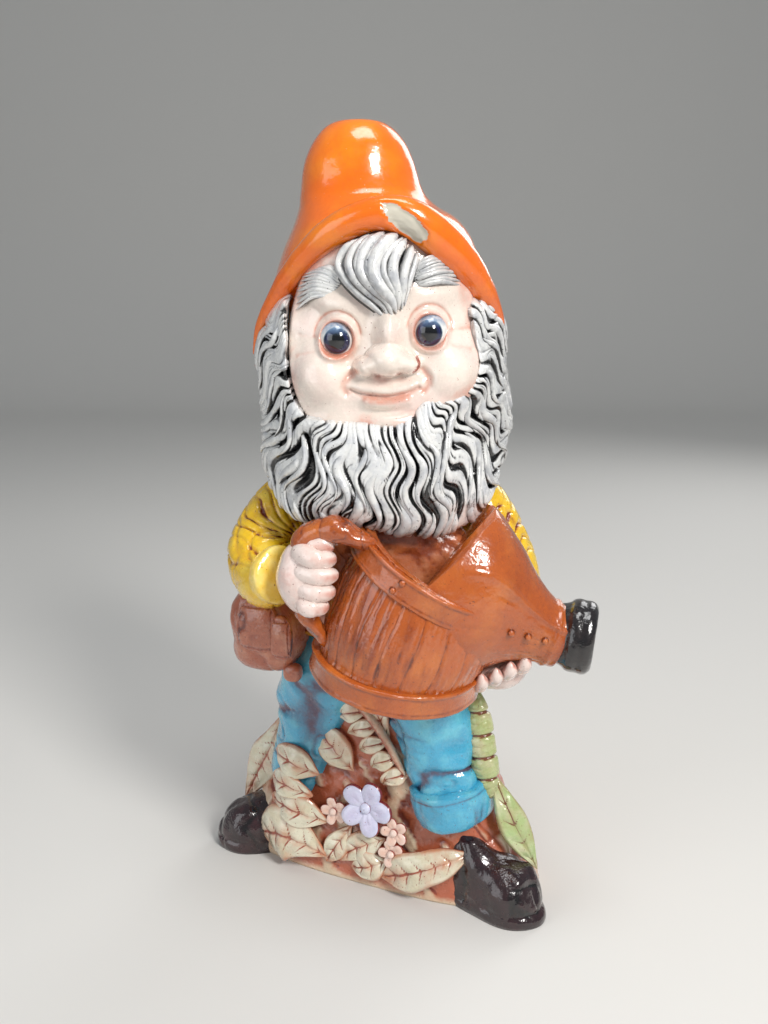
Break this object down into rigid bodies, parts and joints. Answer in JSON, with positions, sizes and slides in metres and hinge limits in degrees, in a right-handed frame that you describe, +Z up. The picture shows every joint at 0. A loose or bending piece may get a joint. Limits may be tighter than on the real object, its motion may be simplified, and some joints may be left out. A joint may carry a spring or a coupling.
{
  "type": "garden gnome",
  "caption": "Standing glazed ceramic gnome with pointed hood, full beard, hip satchel and tilted watering can on a leafy base.",
  "frame": {"origin": "on the underside of the base, in the plane it stands on, below the middle of the head", "axes": "+Z up, -Y the way the face looks, +X towards the figure's left hand and the can's spout"},
  "size_m": [0.2059, 0.1564, 0.409],
  "materials": {
    "ground": "gloss",
    "leaf": "gloss",
    "fern": "gloss",
    "lilac": "gloss",
    "pink": "gloss",
    "boot": "gloss",
    "trouser": "gloss",
    "jacket": "gloss",
    "skin": "gloss",
    "eye": "gloss",
    "hair": "gloss",
    "hat": "gloss",
    "satchel": "gloss",
    "can": "gloss",
    "rose": "gloss"
  },
  "bodies": {
    "root": {"base_mound": "ground", "boot_left": "boot", "boot_right": "boot", "trouser_cuff_left": "trouser", "trouser_cuff_right": "trouser", "eye_right": "eye", "eye_left": "eye", "head": "skin", "forelock": "hair", "eyebrow_right": "hair", "eyebrow_left": "hair", "beard": "hair", "hat_brim": "hat", "hat": "hat", "back_hair": "hair", "can_lower_hoop": "can", "can_upper_hoop": "can", "hoop_rivet_1": "can", "hoop_rivet_2": "can", "can_body": "can", "can_handle": "can", "spout_rivet_1": "can", "spout_rivet_2": "can", "spout_rivet_3": "can", "can_rose": "rose", "can_spout": "can", "hand_right": "skin", "hand_left": "skin", "sleeve_cuff_right": "jacket", "sleeve_cuff_left": "jacket", "sleeve_right": "jacket", "sleeve_left": "jacket", "jacket_body": "jacket", "satchel_flap": "satchel", "satchel_pocket": "satchel", "satchel_tongue": "satchel", "satchel_body": "satchel", "trouser_leg_left": "trouser", "trouser_leg_right": "trouser", "satchel_strap": "satchel", "fern_front": "leaf", "leaf_tall_right": "leaf", "leaf_narrow": "leaf", "leaf_lens": "leaf", "leaf_small_upper": "leaf", "leaf_small_lower": "leaf", "leaf_side": "leaf", "flower_large": "lilac", "blossom_side": "pink", "blossom_upper": "pink", "blossom_lower": "pink", "leaf_broad_front": "leaf", "leaf_fold_front": "leaf", "leaf_middle_front": "leaf", "leaf_low_front": "leaf", "leaf_long_front": "leaf", "fern_left": "fern", "leaf_left": "fern"}
  },
  "joints": []
}
